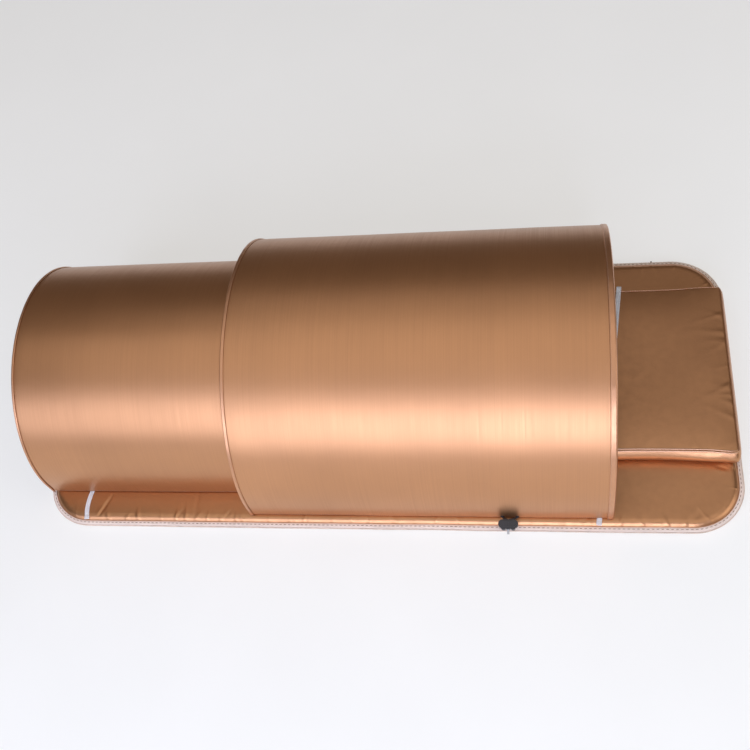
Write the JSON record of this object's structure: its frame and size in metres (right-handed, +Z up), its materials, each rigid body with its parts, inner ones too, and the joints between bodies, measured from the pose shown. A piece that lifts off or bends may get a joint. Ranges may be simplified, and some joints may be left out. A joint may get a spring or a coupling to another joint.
{
  "type": "portable steam sauna",
  "caption": "Padded arch shells that telescope over a zipped floor mat with a head pad, for lying in heat with the head outside.",
  "frame": {"origin": "middle of the mat's underside", "axes": "+X along the mat to the head end, +Y to the mat's far side, +Z up"},
  "size_m": [1.8, 0.8134, 0.4465],
  "materials": {
    "gold_pu": "satin",
    "binding_pu": "satin",
    "underside_cloth": "matte",
    "lining_cloth": "matte",
    "foam": "matte",
    "zip_tape": "matte",
    "zip_teeth": "satin",
    "zip_metal": "satin",
    "webbing": "matte",
    "board": "matte",
    "heater_film": "satin",
    "copper": "polished",
    "spring_steel": "satin",
    "black_plastic": "satin",
    "lead_rubber": "matte",
    "spigot_grey": "satin"
  },
  "bodies": {
    "mat": {"mat_top_cover": "gold_pu", "mat_bottom_cover": "underside_cloth", "mat_foam": "foam", "zip_tape_upper": "zip_tape", "zip_tape_lower": "zip_tape", "zip_coil": "zip_teeth", "zip_stops": "zip_metal", "head_pad_cover": "gold_pu", "head_pad_foam": "foam", "head_pad_piping": "binding_pu", "foot_strap": "webbing", "head_strap": "webbing", "strap_anchors": "webbing"},
    "zip_slider": {"slider_body": "zip_metal", "slider_bail": "zip_metal"},
    "zip_pull": {"pull_tab": "zip_metal"},
    "small_shell": {"small_cover": "gold_pu", "small_padding": "foam", "small_board": "board", "small_heating_film": "heater_film", "small_bus_bars": "copper", "small_lining": "lining_cloth", "small_foot_binding": "binding_pu", "small_head_binding": "binding_pu", "small_hem_battens": "board", "small_bows": "spring_steel", "small_thermostat": "black_plastic", "small_terminal_box": "black_plastic", "small_harness": "lead_rubber", "small_inlet": "black_plastic"},
    "large_shell": {"large_cover": "gold_pu", "large_padding": "foam", "large_board": "board", "large_heating_film": "heater_film", "large_bus_bars": "copper", "large_lining": "lining_cloth", "large_foot_binding": "binding_pu", "large_head_binding": "binding_pu", "large_hem_battens": "board", "large_bows": "spring_steel", "large_thermostat": "black_plastic", "large_terminal_box": "black_plastic", "large_harness": "lead_rubber", "lead_grommets": "lead_rubber", "connector_leads": "lead_rubber", "connector_body": "black_plastic", "connector_lid": "black_plastic", "connector_collar": "black_plastic", "connector_boots": "lead_rubber", "connector_spigot": "spigot_grey"}
  },
  "joints": [
    {"name": "small_shell_slide", "type": "slide", "parent": "mat", "child": "small_shell", "axis": [1, 0, 0], "range_m": [0, 0.54]},
    {"name": "large_shell_slide", "type": "slide", "parent": "mat", "child": "large_shell", "axis": [-1, 0, 0], "range_m": [0, 0.54]},
    {"name": "zip_run", "type": "slide", "parent": "mat", "child": "zip_slider", "axis": [1, 0, 0], "range_m": [0, 1.4]},
    {"name": "pull_swing", "type": "hinge", "parent": "zip_slider", "child": "zip_pull", "pos_m": [-0.697, 0.40165, 0.015], "axis": [0, 0, 1], "range_deg": [0, 180]}
  ]
}
